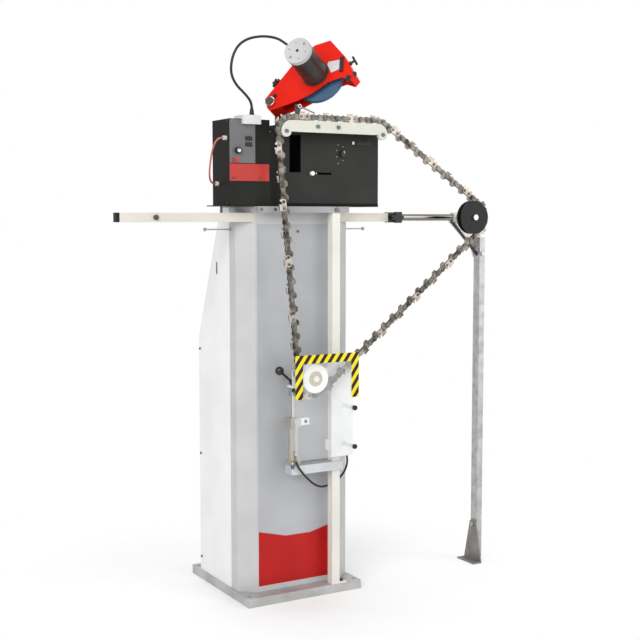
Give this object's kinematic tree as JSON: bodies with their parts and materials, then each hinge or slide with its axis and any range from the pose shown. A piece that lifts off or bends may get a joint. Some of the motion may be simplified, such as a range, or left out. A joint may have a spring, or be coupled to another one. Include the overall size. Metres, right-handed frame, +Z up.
{
  "type": "chainsaw chain sharpener",
  "caption": "Floor-standing electric sharpener for wide-pitch saw chain: sheet-metal column, control boxes, swinging grinding head, guide rail, chain loop, arm with leg and tensioner.",
  "frame": {"origin": "centre of the base plate's four anchor holes, at floor level on its underside", "axes": "+X along the front towards the arm with the leg, +Y away from the operator, +Z up"},
  "size_m": [1.193, 0.4919, 1.5671],
  "materials": {
    "zinc_steel": "matt zinc-plated steel",
    "grey_paint": "light grey powder coat",
    "panel_grey": "light grey powder coat",
    "red_paint": "red powder coat",
    "red_enamel": "glossy orange-red enamel",
    "white_paint": "near-white powder coat",
    "cream_paint": "cream enamel",
    "black_paint": "black satin powder coat",
    "dark_paint": "dark grey satin powder coat",
    "slate_paint": "slate grey paint",
    "motor_black": "black enamel",
    "dark_steel": "blackened steel",
    "chain_steel": "dark oiled steel",
    "cutter_chrome": "hard chromed steel",
    "polished_steel": "polished steel",
    "leg_steel": "galvanised steel",
    "cast_aluminium": "fine cast aluminium",
    "cylinder_aluminium": "anodised aluminium",
    "hub_brass": "turned brass",
    "black_plastic": "black moulded plastic",
    "white_plastic": "white moulded plastic",
    "light_plastic": "light grey moulded plastic",
    "button_red": "red moulded plastic",
    "knob_white": "white moulded plastic",
    "board_green": "laminate board",
    "clear_sheet": "clear sheet",
    "cable_rubber": "black rubber sheath",
    "hose_red": "red flexible hose",
    "blue_abrasive": "blue bonded abrasive"
  },
  "bodies": {
    "frame": {"base_plate": "zinc_steel", "column_shell": "grey_paint", "front_panel": "panel_grey", "kick_panel": "red_paint", "rear_cover": "white_paint", "top_plate": "white_paint", "crossbar": "cream_paint", "arm_end_cap": "black_plastic", "chain_hooks": "zinc_steel", "rail_post": "cream_paint", "box_floor": "black_paint", "left_box": "black_paint", "right_box": "dark_paint", "control_panel": "slate_paint", "red_band": "red_paint", "connector_block": "light_plastic", "control_board": "board_green", "guide_rail": "cream_paint", "vise_base": "dark_steel", "head_bracket": "dark_steel", "chain_drive_links": "chain_steel", "chain_cutters": "cutter_chrome", "chain_tie_straps": "chain_steel", "clamp_collar": "dark_steel", "motor_cable": "cable_rubber", "side_hose": "hose_red", "fittings": "light_plastic", "frame_screws": "zinc_steel"},
    "head": {"head_guard": "red_enamel", "motor_housing": "motor_black", "motor_cap": "cast_aluminium", "eye_shield": "clear_sheet"},
    "head_star_knob": {"star_knob": "black_plastic"},
    "head_wing_screw": {"wing_screw": "black_plastic"},
    "stone": {"motor_spindle": "polished_steel", "grinding_wheel": "blue_abrasive"},
    "pawl": {"feed_pawl": "polished_steel"},
    "arm": {"inner_tube": "polished_steel", "corner_gusset": "grey_paint", "leg_tube": "leg_steel", "foot_bracket": "leg_steel", "arm_bolts": "zinc_steel"},
    "idler": {"idler_wheel": "black_plastic"},
    "arm_clamp": {"clamp_knob": "black_plastic"},
    "tensioner": {"tension_bar": "cast_aluminium", "air_cylinder": "cylinder_aluminium", "air_hose": "cable_rubber"},
    "carriage": {"carriage_plate": "white_paint", "chain_guard": "clear_sheet", "guard_standoffs": "zinc_steel", "cylinder_rod": "polished_steel"},
    "pulley": {"tension_pulley": "white_plastic", "pulley_hub": "hub_brass"},
    "lever": {"ball_lever": "black_plastic"},
    "rocker_a": {"rocker_upper": "black_plastic"},
    "rocker_b": {"rocker_lower": "black_plastic"},
    "start": {"start_button": "button_red"},
    "speed": {"speed_knob": "knob_white"},
    "dial": {"dial_knob": "black_plastic"},
    "slider": {"slider_knob": "knob_white"}
  },
  "joints": [
    {"name": "head_swing", "type": "hinge", "parent": "frame", "child": "head", "pos_m": [-0.0718, -0.12, 1.3967], "axis": [-0.7501, -0.545, 0.3746], "range_deg": [-7, 15], "deforming": ["motor_cable"]},
    {"name": "stone_spin", "type": "hinge", "parent": "head", "child": "stone", "pos_m": [0.02457, -0.20049, 1.47256], "axis": [-0.7501, -0.545, 0.3746], "continuous": true},
    {"name": "star_knob_turn", "type": "hinge", "parent": "head", "child": "head_star_knob", "pos_m": [-0.03603, -0.10958, 1.44434], "axis": [-0.3257, 0.7974, 0.508], "range_deg": [0, 180]},
    {"name": "wing_screw_turn", "type": "hinge", "parent": "head", "child": "head_wing_screw", "pos_m": [0.10388, -0.25237, 1.49718], "axis": [0.6569, -0.5487, 0.5171], "range_deg": [0, 180]},
    {"name": "pawl_lift", "type": "hinge", "parent": "frame", "child": "pawl", "pos_m": [-0.03, -0.205, 1.38], "axis": [0, 1, 0], "range_deg": [-14, 0]},
    {"name": "arm_slide", "type": "slide", "parent": "frame", "child": "arm", "axis": [-1, 0, 0], "range_m": [0, 0.12]},
    {"name": "idler_spin", "type": "hinge", "parent": "arm", "child": "idler", "pos_m": [0.553, -0.22, 1.079], "axis": [0, 1, 0], "continuous": true},
    {"name": "arm_clamp_turn", "type": "hinge", "parent": "frame", "child": "arm_clamp", "pos_m": [0.325, -0.1305, 1.079], "axis": [0, -1, 0], "range_deg": [0, 180]},
    {"name": "tensioner_slide", "type": "slide", "parent": "frame", "child": "tensioner", "axis": [0, 0, 1], "range_m": [0, 0.06], "deforming": ["air_hose"]},
    {"name": "carriage_slide", "type": "slide", "parent": "tensioner", "child": "carriage", "axis": [0, 0, 1], "range_m": [0, 0.03]},
    {"name": "pulley_spin", "type": "hinge", "parent": "carriage", "child": "pulley", "pos_m": [0.008, -0.22, 0.6328], "axis": [0, 1, 0], "continuous": true},
    {"name": "lever_turn", "type": "hinge", "parent": "carriage", "child": "lever", "pos_m": [-0.038, -0.18, 0.62], "axis": [0, 1, 0], "range_deg": [-20, 10]},
    {"name": "rocker_a_tilt", "type": "hinge", "parent": "frame", "child": "rocker_a", "pos_m": [-0.166, -0.1705, 1.291], "axis": [1, 0, 0], "range_deg": [-8, 8]},
    {"name": "rocker_b_tilt", "type": "hinge", "parent": "frame", "child": "rocker_b", "pos_m": [-0.166, -0.1705, 1.275], "axis": [1, 0, 0], "range_deg": [-8, 8]},
    {"name": "start_press", "type": "slide", "parent": "frame", "child": "start", "axis": [0, 1, 0], "range_m": [0, 0.0025], "stiffness_N_per_m": 400, "springref_m": -0.002},
    {"name": "speed_turn", "type": "hinge", "parent": "frame", "child": "speed", "pos_m": [-0.199, -0.172, 1.258], "axis": [0, -1, 0], "range_deg": [-135, 135]},
    {"name": "dial_turn", "type": "hinge", "parent": "frame", "child": "dial", "pos_m": [0.13, -0.17, 1.2576], "axis": [0, -1, 0], "range_deg": [-135, 135]},
    {"name": "slider_move", "type": "slide", "parent": "frame", "child": "slider", "axis": [1, 0, 0], "range_m": [0, 0.062]}
  ],
  "couplings": [
    {"joint": "pulley_spin", "follows": "idler_spin", "ratio": 1.0103}
  ]
}
